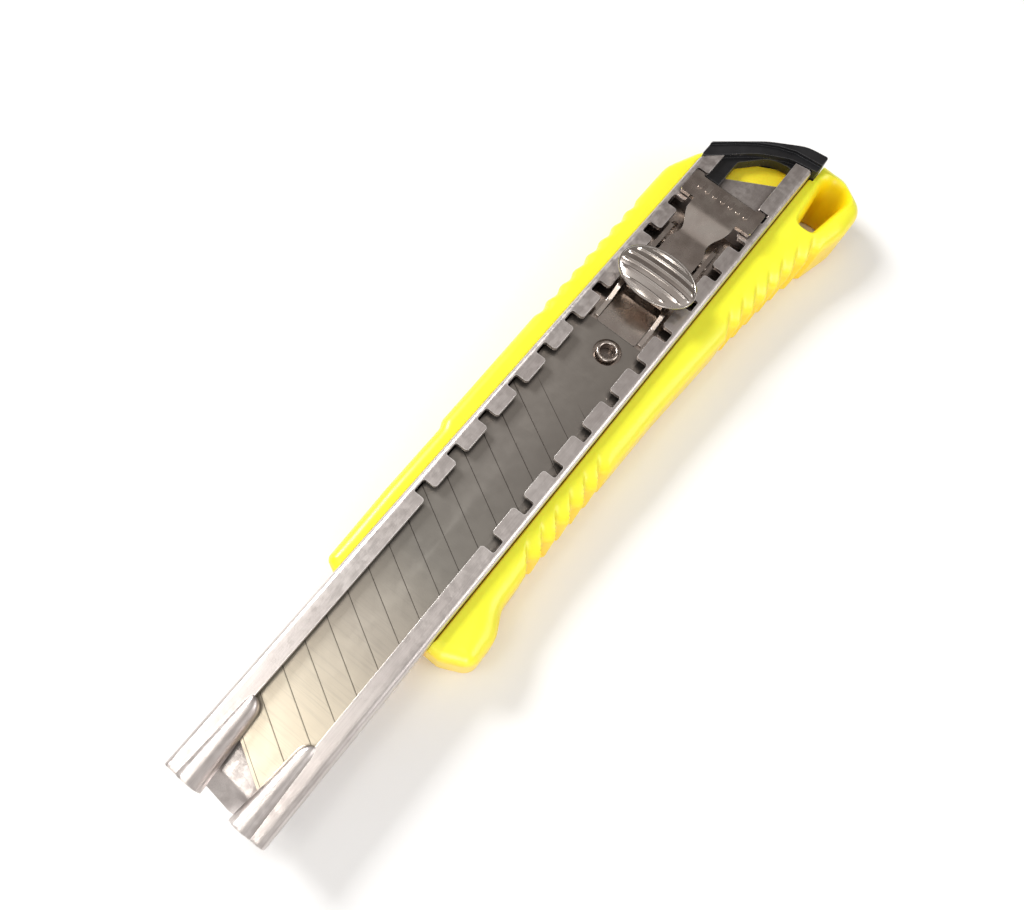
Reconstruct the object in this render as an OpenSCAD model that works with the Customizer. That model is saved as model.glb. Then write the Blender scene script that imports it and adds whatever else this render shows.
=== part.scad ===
// Snap-off utility knife: moulded handle, crenellated steel rail, scored blade, a carriage
// with a rocking lock plate and thumb button, and a pull-off end cap.
// X runs along the knife with the tip toward -X, Z is up, Z = 0 is the flat back of the
// handle, and Y = 0 is the centreline of the rail. All sizes are in millimetres.

/* [Rail] */
// Outside width of the steel rail
rail_w = 20.8; // [20.6:0.1:21.4]
// Sheet thickness of the rail
rail_sheet = 0.9; // [0.8:0.05:0.9]
// Height of the rail from the underside of its floor to the top of its lips
rail_h = 4.4; // [4.4:0.1:5]
// Gap between the two lips
lip_gap = 12.9; // [12.6:0.1:13.2]
// Number of lock notches along each lip
notch_count = 11; // [9:1:11]
// Spacing of the lock notches
notch_pitch = 9; // [8.8:0.1:9.1]
// Length of one lock notch
notch_w = 2.9; // [2.6:0.1:3]
// Depth of a lock notch into the lip
notch_depth = 2.65; // [2.5:0.05:2.8]

/* [Blade] */
// Width of the blade
blade_w = 18; // [17.8:0.1:18.2]
// Thickness of the blade
blade_t = 0.5; // [0.4:0.05:0.5]
// Number of score lines
score_count = 14; // [8:1:14]
// Spacing of the score lines
score_pitch = 5.4; // [5.2:0.1:5.4]
// Lean of the score lines and of the front edge
score_lean = 28; // [24:1:30]
// Diameter of the hole in the blade
blade_hole_d = 5.8; // [5.6:0.1:6.2]

/* [Handle] */
// Height of the handle from its back to its top edge
handle_h = 12.5; // [12:0.1:13]
// Radius of the rounded edges of the handle
handle_edge = 2.2; // [1.6:0.1:2.4]
// Number of grip grooves behind the finger guard
front_grooves = 6; // [3:1:6]
// Number of grip grooves on the heel
heel_grooves = 7; // [3:1:7]
// Number of shallow grooves on the thumb side
thumb_grooves = 8; // [3:1:8]

/* [Slider] */
// Sheet thickness of the lock plate
lock_sheet = 0.7; // [0.6:0.05:0.7]
// Length of the thumb button along the knife
button_l = 11.7; // [11:0.1:12]
// Width of the thumb button across the knife
button_w = 17.1; // [16:0.1:17.4]
// Number of ridges across the thumb button
button_ridges = 6; // [4:1:6]

/* [Hidden] */
$fn = 48;
eps = 0.01;

// Levels
lip_z = 15;
floor_z = lip_z - rail_h;
floor_top = floor_z + rail_sheet;
lip_under = lip_z - rail_sheet;
run_gap = 0.15;
base_t = 0.6;
base_z = floor_top + run_gap;
blade_z = base_z + base_t;
blade_top = blade_z + blade_t;

// Stations along the knife
rail_front = -87.3;
rail_rear = 86;
notch_x = -28;
rib_end = -72;
blade_front = -79.7;
score_x = -73.7;
blade_rear = 22.5;
stud = [18.1, -1.2];
pivot = [46, 13.65];
button_x = 34.8;

// Widths
rail_in = rail_w / 2 - rail_sheet;
lip_in = lip_gap / 2;
bed_half = rail_w / 2 + 0.05;
web_half = 4.2;
neck_half = 3.3;
wing_half = 8.7;
flange_in = 4.8;
flange_out = 5.7;

// Handle outline: x, y and the radius of each corner, from the tip end round the thumb side
handle_corners = [
    [-47.6, 10.6, 1], [-46.4, 13.6, 1.5], [-30, 14.1, 30], [-14.6, 14.1, 1], [-13, 14.8, 1],
    [52, 15.3, 30], [63.5, 15.3, 9], [71.6, 11.8, 5], [80, 1.6, 8], [85.2, -7, 6],
    [87.6, -11, 4], [88, -17, 5], [83.4, -23.9, 5], [76, -23.9, 9], [60, -19.9, 40],
    [38, -17.7, 60], [16, -16.4, 60], [-27, -15.6, 12], [-33.5, -15.9, 6], [-38.4, -18.5, 6],
    [-45.2, -18.6, 3], [-47.8, -13, 2]
];

// Outline of the end cap's rear wall
cap_corners = [
    [67.6, 10.3, 0.4], [71.8, 10.3, 0.5], [80.1, 1.2, 18], [84.9, -6.2, 8], [85.6, -11.3, 0.5],
    [81.2, -11.3, 0.4], [80.3, -5.2, 6], [76.6, 1.2, 14]
];

// Outline of the lanyard hole
lanyard_corners = [[70.8, -14.9, 1], [84.6, -13.6, 2], [84.9, -20.2, 2.4], [70.8, -17.9, 1]];

// Line along which the rail's floor stops under the end cap
floor_end_thumb = 65;
floor_end_guard = 77.9;

// The arc that rounds one corner of an outline
function unit(v) = v / norm(v);
function corner_arc(a, b, c) =
    let (u = unit([a[0] - b[0], a[1] - b[1]]), w = unit([c[0] - b[0], c[1] - b[1]]),
         half = acos(max(-1, min(1, u * w))) / 2,
         reach = b[2] / tan(half),
         start = [b[0], b[1]] + u * reach,
         finish = [b[0], b[1]] + w * reach,
         centre = [b[0], b[1]] + unit(u + w) * b[2] / sin(half),
         a0 = atan2(start[1] - centre[1], start[0] - centre[0]),
         a1 = atan2(finish[1] - centre[1], finish[0] - centre[0]),
         turn = (a1 - a0 + 540) % 360 - 180,
         steps = max(2, ceil(abs(turn) / 12)))
    [for (i = [0 : steps]) centre + b[2] * [cos(a0 + turn * i / steps), sin(a0 + turn * i / steps)]];
function rounded(corners) =
    let (n = len(corners))
    [for (i = [0 : n - 1]) each corner_arc(corners[(i + n - 1) % n], corners[i], corners[(i + 1) % n])];

// A square with rounded corners, centred on the origin
module rounded_square(w, h, r) {
    square([w - 2 * r, h], center = true);
    square([w, h - 2 * r], center = true);
    for (x = [-1, 1], y = [-1, 1])
        translate([x * (w / 2 - r), y * (h / 2 - r)]) circle(r);
}

// A profile drawn in X and Z and made symmetrical about Y = 0
module side_profile(points, half) {
    translate([0, half, 0]) rotate([90, 0, 0]) linear_extrude(2 * half) polygon(points);
}

// A box between two corners
module box(low, high) {
    translate(low) cube(high - low);
}

// The handle's outline, with rounded edges along its straight thumb side and at its front
module handle_block() {
    depth = 39.2;
    centre_y = 15.4 - depth / 2;
    intersection() {
        linear_extrude(handle_h) polygon(rounded(handle_corners));
        translate([-60, centre_y, handle_h / 2]) rotate([90, 0, 90])
            linear_extrude(160) rounded_square(depth, handle_h, handle_edge);
    }
}

// The space behind the end cap's wall, with its clearance
module cap_space(gap) {
    translate([0, 0, -1])
        linear_extrude(lip_z + 3)
            polygon([[67.6 - gap, 10.3 + gap], [76.4 - gap, 1.2], [80.1 - gap, -5.2],
                     [81.1 - gap, -11.3 - gap], [95, -11.3 - gap], [95, 10.3 + gap]]);
}

module grip_grooves() {
    front_pitch = 4.3;
    heel_pitch = 4.4;
    thumb_pitch = 4.6;
    groove_r = 2.4;
    for (i = [0 : front_grooves - 1])
        translate([-24.6 + i * front_pitch, -17.1, 6.5]) rotate([0, 30, 0])
            cylinder(r = groove_r, h = 20, center = true);
    for (i = [0 : heel_grooves - 1])
        translate([39.5 + i * heel_pitch, -19.2 - i * 0.62, 6.5]) rotate([0, 20, 0])
            cylinder(r = groove_r, h = 20, center = true);
    for (i = [0 : thumb_grooves - 1])
        translate([18 + i * thumb_pitch, 16.9 + i * 0.06, 6.5])
            cylinder(r = groove_r, h = 20, center = true);
}

module handle() {
    bed_rear = 62;
    bed_rear_z = floor_top - 0.1;
    color("gold")
    difference() {
        handle_block();
        box([-60, -bed_half, floor_z], [bed_rear, bed_half, lip_z]);
        box([bed_rear - eps, -bed_half, bed_rear_z], [95, bed_half, lip_z]);
        intersection() {
            box([bed_rear - 1, -bed_half, floor_z], [90, bed_half, bed_rear_z + 1]);
            floor_outline(0.15);
        }
        rail_wall_slots();
        cap_space(0.15);
        translate([0, 0, -1]) linear_extrude(handle_h + 2) polygon(rounded(lanyard_corners));
        grip_grooves();
    }
}

// The slots beside the raised rear bed that hold the rail's walls
module rail_wall_slots() {
    for (s = [-1, 1])
        translate([0, s * (rail_w / 2 - rail_sheet / 2), 0])
            box([60, -rail_sheet / 2 - 0.15, floor_z], [90, rail_sheet / 2 + 0.15, lip_z]);
}

// The plan shape of the rail's floor, cut off at a slant at both ends
module floor_outline(gap) {
    translate([0, 0, floor_z - 1])
        linear_extrude(3)
            polygon([[-84.6, -rail_w], [-87, -2], [-84.4, rail_w],
                     [floor_end_thumb + gap, rail_w / 2], [floor_end_guard + gap, -rail_w / 2]]);
}

module rail_section() {
    corner_r = 1.2;
    difference() {
        rounded_square(rail_w, rail_h, corner_r);
        rounded_square(rail_w - 2 * rail_sheet, rail_h - 2 * rail_sheet, corner_r - rail_sheet + 0.2);
        translate([-lip_in, 0]) square([lip_gap, rail_h]);
    }
}

// The raised rib that each lip is formed into at the nose
module nose_rib(r) {
    taper_l = 5;
    tip_r = r * 0.55;
    straight_l = rib_end - rail_front - taper_l - tip_r;
    rotate([0, 90, 0]) {
        cylinder(r = r, h = straight_l);
        translate([0, 0, straight_l]) cylinder(r1 = r, r2 = tip_r, h = taper_l);
        translate([0, 0, straight_l + taper_l]) sphere(tip_r);
    }
}

module place_ribs() {
    rib_y = 5.8;
    rib_z = 13.3;
    for (s = [-1, 1])
        translate([rail_front, s * rib_y, rib_z]) children();
}

module rail() {
    rib_r = 2.7;
    color("silver")
    difference() {
        union() {
            difference() {
                translate([rail_front, 0, lip_z - rail_h / 2]) rotate([90, 0, 90])
                    linear_extrude(rail_rear - rail_front) rail_section();
                place_ribs() nose_rib(rib_r - eps);
                // Everything of the floor that is outside its slanted outline
                difference() {
                    box([rail_front - 1, -rail_in, floor_z - 1], [rail_rear + 1, rail_in, floor_top + 0.4]);
                    floor_outline(0);
                }
            }
            difference() {
                place_ribs() nose_rib(rib_r);
                place_ribs() translate([-1, 0, 0]) nose_rib(rib_r - rail_sheet);
                box([rail_front - 2, -rail_in, floor_z - 1], [rib_end + 2, rail_in, blade_top + run_gap]);
            }
        }
        for (i = [0 : notch_count - 1], s = [-1, 1])
            translate([notch_x + i * notch_pitch, s * (lip_in + notch_depth / 2), lip_under - 0.3])
                translate([0, -notch_depth / 2 - (s < 0 ? 0 : 1), 0])
                    cube([notch_w, notch_depth + 1, 3]);
        cap_space(0.15);
    }
}

module blade() {
    front_half = blade_w / 2 * tan(score_lean);
    bevel_w = 1.9;
    score_w = 0.22;
    score_d = 0.14;
    color("lightgray")
    difference() {
        translate([0, 0, blade_z])
            linear_extrude(blade_t)
                polygon([[blade_front - front_half, -blade_w / 2], [blade_rear - 1, -blade_w / 2],
                         [blade_rear, -blade_w / 2 + 1], [blade_rear, blade_w / 2 - 2],
                         [blade_rear - 2, blade_w / 2], [blade_front + front_half, blade_w / 2]]);
        translate([stud[0], stud[1], blade_z - 1]) cylinder(d = blade_hole_d, h = 3);
        for (i = [0 : score_count - 1])
            translate([score_x + i * score_pitch, 0, blade_top - score_d + 1])
                rotate([0, 0, -score_lean])
                    cube([score_w, blade_w * 1.4, 2], center = true);
        // Ground bevel along the cutting edge
        translate([-100, -blade_w / 2, blade_z + 0.05])
            rotate([atan((blade_t - 0.05) / bevel_w), 0, 0])
                translate([0, -2, 0]) cube([130, 2 + bevel_w * 1.05, 2]);
    }
}

module carriage() {
    base_front = 12;
    base_rear = 56;
    flange_top = lip_z + 0.3;
    color("gainsboro")
    difference() {
        union() {
            box([base_front, -rail_in + 0.4, base_z], [base_rear, rail_in - 0.4, blade_z]);
            for (s = [-1, 1])
                translate([0, s * (flange_in + flange_out) / 2, 0])
                    side_profile([[23.3, base_z], [23.3, blade_z + 1.1], [28.4, blade_z + 1.2],
                                  [30.2, flange_top - 0.4], [31.4, flange_top], [49.4, flange_top],
                                  [51, blade_z + 1], [53, base_z]], (flange_out - flange_in) / 2);
        }
        translate([stud[0], stud[1], 0]) cylinder(d = 3.8, h = 20);
        translate([pivot[0], 0, pivot[1]]) rotate([90, 0, 0]) cylinder(d = 1.2, h = 20, center = true);
    }
}

// Hollow rivet whose rolled rim stands up through the hole in the blade
module blade_stud() {
    bore_r = 1.5;
    tube_r = 1.9;
    rim_r = 2.3;
    rim_z = blade_top + 0.5;
    color("whitesmoke")
    translate([stud[0], stud[1], 0])
        rotate_extrude() {
            translate([bore_r, base_z]) square([tube_r - bore_r, rim_z - base_z]);
            translate([(bore_r + rim_r) / 2, rim_z]) circle((rim_r - bore_r) / 2);
        }
}

module rocker_pin() {
    color("silver")
    translate([pivot[0], 0, pivot[1]]) rotate([90, 0, 0])
        cylinder(d = 1.2, h = 2 * flange_out + 0.4, center = true);
}

// Leaf spring that stands on the carriage and pushes the pedestal up
module return_spring() {
    leaf_t = 0.3;
    leaf_half = 2.2;
    foot_z = blade_z;
    tip_z = 15.9;
    color("lightsteelblue")
    side_profile([[42.5, foot_z], [42.5, foot_z + leaf_t], [40, foot_z + leaf_t], [33.6, tip_z],
                  [33.6, tip_z - 1.6 * leaf_t], [39.7, foot_z]], leaf_half);
}

module lock_plate() {
    t = lock_sheet;
    web_z = 14.2;
    top_z = 17.3;
    ped_front = 31.8;
    ped_rear = 38.2;
    wing_z = 15.7;
    wing_front = 57;
    wing_rear = 63.3;
    tooth_half = 0.9;
    color("lightgray")
    difference() {
        union() {
            // Pedestal under the button, and the web behind it
            side_profile([[ped_front, web_z], [ped_front, top_z], [ped_rear, top_z],
                          [ped_rear, web_z + t], [50.3, web_z + t], [50.3, web_z],
                          [ped_rear - t, web_z], [ped_rear - t, top_z - t],
                          [ped_front + t, top_z - t], [ped_front + t, web_z]], web_half);
            // Neck that climbs to the wing plate
            side_profile([[50.2, web_z], [50.2, web_z + t], [54.4, wing_z + t], [58, wing_z + t],
                          [58, wing_z], [54.8, wing_z], [50.8, web_z]], neck_half);
            box([wing_front, -wing_half, wing_z], [wing_rear, wing_half, wing_z + t]);
            for (s = [-1, 1]) {
                // Front edge of each wing, turned down over the lip
                translate([0, s * (neck_half + wing_half) / 2, 0])
                    side_profile([[wing_front, lip_z + 0.25], [wing_front, wing_z + t],
                                  [wing_front + t, wing_z + t], [wing_front + t, lip_z + 0.25]],
                                 (wing_half - neck_half) / 2);
                // Tooth over a lock notch, cut short so that it clears the lips along the slide
                translate([0, s * (wing_half - tooth_half), 0])
                    side_profile([[wing_rear - t, lip_z + 0.25], [wing_rear - t, wing_z + t],
                                  [wing_rear, wing_z + t], [wing_rear, lip_z + 0.25]], tooth_half);
                // Ear that rocks on the pin
                translate([0, s * (web_half - 0.35), 0])
                    side_profile([[44.7, 12.8], [44.7, web_z + 0.1], [47.3, web_z + 0.1], [47.3, 12.8]],
                                 0.35);
            }
        }
        translate([pivot[0], 0, pivot[1]]) rotate([90, 0, 0]) cylinder(d = 1.28, h = 20, center = true);
        translate([button_x, 0, 10]) cylinder(d = 1.6, h = 20);
    }
}

module oval(l, w) {
    polygon([for (a = [0 : 7.5 : 359]) [l / 2 * cos(a), w / 2 * sin(a)]]);
}

// Domed oval cap with ridges across it, and a flat seat below for the pedestal
module thumb_button() {
    seat_z = 17.3;
    rim_z = 18.6;
    crest_z = 20.5;
    dome_r = 9.5;
    ridge_step = 12;
    rim_h = 0.8;
    color("white")
    difference() {
        union() {
            translate([button_x, 0, rim_z])
                linear_extrude(rim_h) oval(button_l, button_w);
            intersection() {
                translate([button_x, 0, rim_z]) linear_extrude(5) oval(button_l - 1, button_w - 1);
                translate([button_x, 0, crest_z - dome_r - 0.4]) {
                    rotate([90, 0, 0]) cylinder(r = dome_r, h = 20, center = true, $fn = 96);
                    for (i = [0 : button_ridges - 1])
                        rotate([0, (i - (button_ridges - 1) / 2) * ridge_step, 0])
                            translate([0, 0, dome_r])
                                rotate([90, 0, 0]) linear_extrude(20, center = true)
                                    polygon([[-0.7, -0.3], [0, 0.4], [0.7, -0.3]]);
                }
            }
            translate([button_x, 0, seat_z])
                linear_extrude(rim_z - seat_z + eps) rounded_square(6, 8.2, 0.8);
        }
        translate([button_x, 0, seat_z - 1]) cylinder(d = 1.6, h = 2.6);
    }
}

module button_rivet() {
    color("silver")
    translate([button_x, 0, 16.1]) {
        cylinder(d = 1.6, h = 2.5);
        cylinder(d = 3, h = 0.5);
    }
}

module end_cap() {
    fork_front = 65;
    fork_half = rail_in - 0.3;
    fork_z = floor_top + 0.2;
    fork_top = lip_under - 0.2;
    wall_z = 0.6;
    wall_top = lip_z + 0.9;
    slot_half_thumb = 3.5;
    slot_half_guard = 6.6;
    color("black")
    difference() {
        union() {
            translate([0, 0, wall_z]) linear_extrude(wall_top - wall_z) polygon(rounded(cap_corners));
            translate([0, 0, fork_z])
                linear_extrude(fork_top - fork_z)
                    polygon([[fork_front, fork_half], [69.5, fork_half], [78.6, -1],
                             [82.4, -fork_half], [fork_front, -fork_half]]);
        }
        // The slot between the arms of the fork, with its curved rear end
        translate([0, 0, 5])
            linear_extrude(20)
                polygon(rounded([[60, slot_half_thumb, 0.1], [72.6, slot_half_thumb, 1.2],
                                 [78.4, -1.4, 6], [79.4, -slot_half_guard, 1], [60, -slot_half_guard, 0.1]]));
    }
}

handle();
rail();
end_cap();
blade();
carriage();
blade_stud();
rocker_pin();
return_spring();
lock_plate();
thumb_button();
button_rivet();
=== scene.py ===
# Looks of a snap-off utility knife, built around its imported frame. Shapes are worked out in
# millimetres and turned into metres where a mesh is made. X runs along the knife with the tip
# toward -X, -Y is the side of the finger guard, and Z is up.
import math

import bmesh
import bpy
import numpy as np
from mathutils import Matrix, Vector


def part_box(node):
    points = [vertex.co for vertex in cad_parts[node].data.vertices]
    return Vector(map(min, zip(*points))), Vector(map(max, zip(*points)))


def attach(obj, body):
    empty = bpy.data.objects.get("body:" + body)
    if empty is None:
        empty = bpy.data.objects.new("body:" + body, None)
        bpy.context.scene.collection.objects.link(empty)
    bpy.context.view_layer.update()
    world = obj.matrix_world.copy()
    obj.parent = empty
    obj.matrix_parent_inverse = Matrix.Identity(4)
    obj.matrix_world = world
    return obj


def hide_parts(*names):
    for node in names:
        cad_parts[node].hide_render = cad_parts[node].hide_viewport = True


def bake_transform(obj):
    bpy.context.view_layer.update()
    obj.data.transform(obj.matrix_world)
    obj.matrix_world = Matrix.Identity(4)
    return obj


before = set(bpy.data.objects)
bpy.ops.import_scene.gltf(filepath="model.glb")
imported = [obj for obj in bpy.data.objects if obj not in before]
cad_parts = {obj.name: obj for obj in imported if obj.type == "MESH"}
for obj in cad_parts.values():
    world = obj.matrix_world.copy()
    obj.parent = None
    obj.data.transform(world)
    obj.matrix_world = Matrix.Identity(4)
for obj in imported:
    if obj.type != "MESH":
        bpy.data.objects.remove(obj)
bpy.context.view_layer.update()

MM = 0.001


# ---------------------------------------------------------------- sizes, in millimetres

def box_mm(node):
    """Low and high corner of a CAD node's box."""
    low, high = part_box(node)
    return [v / MM for v in low], [v / MM for v in high]


rail_low, rail_high = box_mm("rail")
cap_low, cap_high = box_mm("end_cap")
blade_low, blade_high = box_mm("blade")
carriage_low, carriage_high = box_mm("carriage")
stud_low, stud_high = box_mm("blade_stud")
lock_low, lock_high = box_mm("lock_plate")
button_low, button_high = box_mm("thumb_button")
pin_low, pin_high = box_mm("rocker_pin")
leaf_low, leaf_high = box_mm("return_spring")

HANDLE_TOP = box_mm("handle")[1][2]
SHEET = 0.9
RAIL_H = 4.4
RAIL_HALF = rail_high[1]
BED_HALF = RAIL_HALF + 0.05
RAIL_IN = RAIL_HALF - SHEET
FLOOR_Z = rail_low[2]
FLOOR_TOP = FLOOR_Z + SHEET
LIP_Z = FLOOR_Z + RAIL_H
LIP_UNDER = LIP_Z - SHEET
LIP_IN = 6.45
BLADE_TOP = blade_high[2]

HANDLE_CORNERS = [
    [-47.6, 10.6, 1], [-46.4, 13.6, 1.5], [-30, 14.1, 30], [-14.6, 14.1, 1], [-13, 14.8, 1],
    [52, 15.3, 30], [63.5, 15.3, 9], [71.6, 11.8, 5], [80, 1.6, 8], [85.2, -7, 6],
    [87.6, -11, 4], [88, -17, 5], [83.4, -23.9, 5], [76, -23.9, 9], [60, -19.9, 40],
    [38, -17.7, 60], [16, -16.4, 60], [-27, -15.6, 12], [-33.5, -15.9, 6], [-38.4, -18.5, 6],
    [-45.2, -18.6, 3], [-47.8, -13, 2],
]
LANYARD_CORNERS = [[70.8, -14.9, 1], [84.6, -13.6, 2], [84.9, -20.2, 2.4], [70.8, -17.9, 1]]
CAP_CORNERS = [
    [67.6, 10.3, 0.4], [71.8, 10.3, 0.5], [80.1, 1.2, 18], [84.9, -6.2, 8], [85.6, -11.3, 0.5],
    [81.2, -11.3, 0.4], [80.3, -5.2, 6], [76.6, 1.2, 14],
]
CAP_SPACE = [[67.45, 10.45], [76.25, 1.2], [79.95, -5.2], [80.95, -11.45], [95, -11.45], [95, 10.45]]


# ---------------------------------------------------------------- geometry helpers

def plan(u, v, w):
    """Outline in X and Y, extruded along Z."""
    return u, v, w


def across(u, v, w):
    """Outline in X and Z, extruded along Y."""
    return u, w, v


def along(u, v, w):
    """Outline in Y and Z, extruded along X."""
    return w, u, v


def new_object(name, verts, faces):
    """Mesh object with its faces turned outward, from sizes in millimetres."""
    mesh = bpy.data.meshes.new(name)
    mesh.from_pydata([(x * MM, y * MM, z * MM) for x, y, z in verts], [], faces)
    clean = bmesh.new()
    clean.from_mesh(mesh)
    bmesh.ops.recalc_face_normals(clean, faces=clean.faces)
    clean.to_mesh(mesh)
    clean.free()
    piece = bpy.data.objects.new(name, mesh)
    bpy.context.scene.collection.objects.link(piece)
    return piece


def corner_arc(before, corner, after, arc_step):
    """Points of the arc that rounds an [x, y, radius] corner."""
    here, radius = Vector(corner[:2]), corner[2]
    u = (Vector(before[:2]) - here).normalized()
    w = (Vector(after[:2]) - here).normalized()
    half = u.angle(w) / 2
    centre = here + (u + w).normalized() * radius / math.sin(half)
    reach = radius / math.tan(half)
    start, end = here + u * reach - centre, here + w * reach - centre
    first = math.atan2(start.y, start.x)
    turn = (math.atan2(end.y, end.x) - first + 3 * math.pi) % (2 * math.pi) - math.pi
    steps = max(2, math.ceil(abs(math.degrees(turn)) / arc_step))
    angles = [first + turn * i / steps for i in range(steps + 1)]
    return [(centre.x + radius * math.cos(a), centre.y + radius * math.sin(a)) for a in angles]


def rounded(corners, arc_step=9):
    """Closed outline from [x, y, radius] corners, with an arc in place of each corner."""
    points = []
    for before, corner, after in zip(corners[-1:] + corners[:-1], corners, corners[1:] + corners[:1]):
        points += corner_arc(before, corner, after, arc_step)
    return points


def open_rounded(corners, arc_step=15):
    """Open path with an arc in place of each corner but the first and last."""
    points = [tuple(corners[0][:2])]
    for before, corner, after in zip(corners, corners[1:], corners[2:]):
        points += corner_arc(before, corner, after, arc_step)
    return points + [tuple(corners[-1][:2])]


def finely(path, step):
    """The same open path with its longer stretches divided up."""
    points = []
    for a, b in zip(path, path[1:]):
        pieces = max(1, int(math.dist(a, b) / step))
        points += [(a[0] + (b[0] - a[0]) * k / pieces, a[1] + (b[1] - a[1]) * k / pieces)
                   for k in range(pieces)]
    return points + [path[-1]]


def circle(centre, radius, count):
    """Closed outline of evenly spaced points."""
    angles = np.linspace(0, 2 * math.pi, count, endpoint=False)
    return [(centre[0] + radius * math.cos(a), centre[1] + radius * math.sin(a)) for a in angles]


def spaced(outline, step):
    """The same closed outline with its points evenly spaced."""
    points = np.array(outline + outline[:1])
    run = np.concatenate([[0], np.cumsum(np.hypot(*np.diff(points, axis=0).T))])
    places = np.linspace(0, run[-1], int(run[-1] / step), endpoint=False)
    return np.stack([np.interp(places, run, points[:, k]) for k in (0, 1)], axis=1)


def wrap_mean(values, reach):
    """Moving average round a closed outline."""
    return sum(np.roll(values, k, axis=0) for k in range(-reach, reach + 1)) / (2 * reach + 1)


def right_of_travel(points, reach=2):
    """Unit normals on the right of a closed outline's direction of travel."""
    heading = np.roll(points, -reach, axis=0) - np.roll(points, reach, axis=0)
    normal = np.stack([heading[:, 1], -heading[:, 0]], axis=1)
    return normal / np.linalg.norm(normal, axis=1, keepdims=True)


def loft(name, rings):
    """Closed solid through rings of equal length."""
    count = len(rings[0])
    verts = [tuple(point) for ring in rings for point in ring]
    last = (len(rings) - 1) * count
    faces = [tuple(range(count)), tuple(range(last, last + count))]
    for k in range(len(rings) - 1):
        for i in range(count):
            j = (i + 1) % count
            faces.append((k * count + i, k * count + j, (k + 1) * count + j, (k + 1) * count + i))
    return new_object(name, verts, faces)


def prism(name, outline, low, high, place=plan):
    """Outline extruded from low to high along the axis that place names."""
    return loft(name, [[place(u, v, w) for u, v in outline] for w in (low, high)])


def applied(piece):
    """Replaces a piece's mesh with what its modifiers make of it."""
    graph = bpy.context.evaluated_depsgraph_get()
    mesh = bpy.data.meshes.new_from_object(piece.evaluated_get(graph))
    piece.modifiers.clear()
    piece.data = mesh
    return piece


def combine(piece, operation, *tools):
    """Adds tools to a piece or cuts them out of it, and uses them up."""
    for tool in tools:
        step = piece.modifiers.new("combine", "BOOLEAN")
        step.operation = operation
        step.solver = "EXACT"
        step.object = tool
    applied(piece)
    for tool in tools:
        bpy.data.objects.remove(tool)
    return piece


def bevelled(piece, width, segments=2, angle=40):
    """Rounds every edge that is sharper than the angle."""
    step = piece.modifiers.new("bevel", "BEVEL")
    step.width = width * MM
    step.segments = segments
    step.limit_method = "ANGLE"
    step.angle_limit = math.radians(angle)
    step.miter_outer = "MITER_ARC"
    return applied(piece)


def shaded(piece, angle=35):
    """Smooth shading that breaks at sharp edges and keeps large faces flat."""
    mesh = piece.data
    mesh.polygons.foreach_set("use_smooth", [True] * len(mesh.polygons))
    mesh.set_sharp_from_angle(angle=math.radians(angle))
    step = piece.modifiers.new("weighted", "WEIGHTED_NORMAL")
    step.mode = "FACE_AREA"
    step.keep_sharp = True
    return piece


def joined(name, pieces):
    """One object out of several that don't touch."""
    verts, faces = [], []
    for piece in pieces:
        start = len(verts)
        verts += [tuple(v.co / MM) for v in piece.data.vertices]
        faces += [tuple(start + i for i in p.vertices) for p in piece.data.polygons]
        bpy.data.objects.remove(piece)
    return new_object(name, verts, faces)


def smoothstep(value):
    """0 below 0, 1 above 1, and a smooth rise between."""
    value = np.clip(value, 0, 1)
    return value * value * (3 - 2 * value)


# ---------------------------------------------------------------- handle

def groove_depth(x, y, z, inset):
    """How far the grip grooves reach into the handle's wall at a point of its outline.

    A groove leans rearward as it climbs the wall, and more so as it crosses the rounded edge."""
    rows = (  # first groove, pitch, count, slant, half width, depth, which side
        (-24.6, 4.3, 6, 0.85, 1.9, 1.5, -1),
        (39.5, 4.4, 7, 0.85, 1.9, 1.2, -1),
        (18.0, 4.6, 8, 0.2, 2.1, 0.55, 1),
    )
    mid_z = 6.5
    side_y = 12
    depth = np.zeros(len(x))
    for first, pitch, count, slant, half, deepest, side in rows:
        along_row = x - first - slant * (0.15 * (z - mid_z) + inset)
        nearest = np.clip(np.round(along_row / pitch), 0, count - 1)
        share = np.clip(1 - ((along_row - nearest * pitch) / half) ** 2, 0, 1) ** 1.5
        depth = np.where(side * y > side_y, np.maximum(depth, deepest * share), depth)
    return depth


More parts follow.
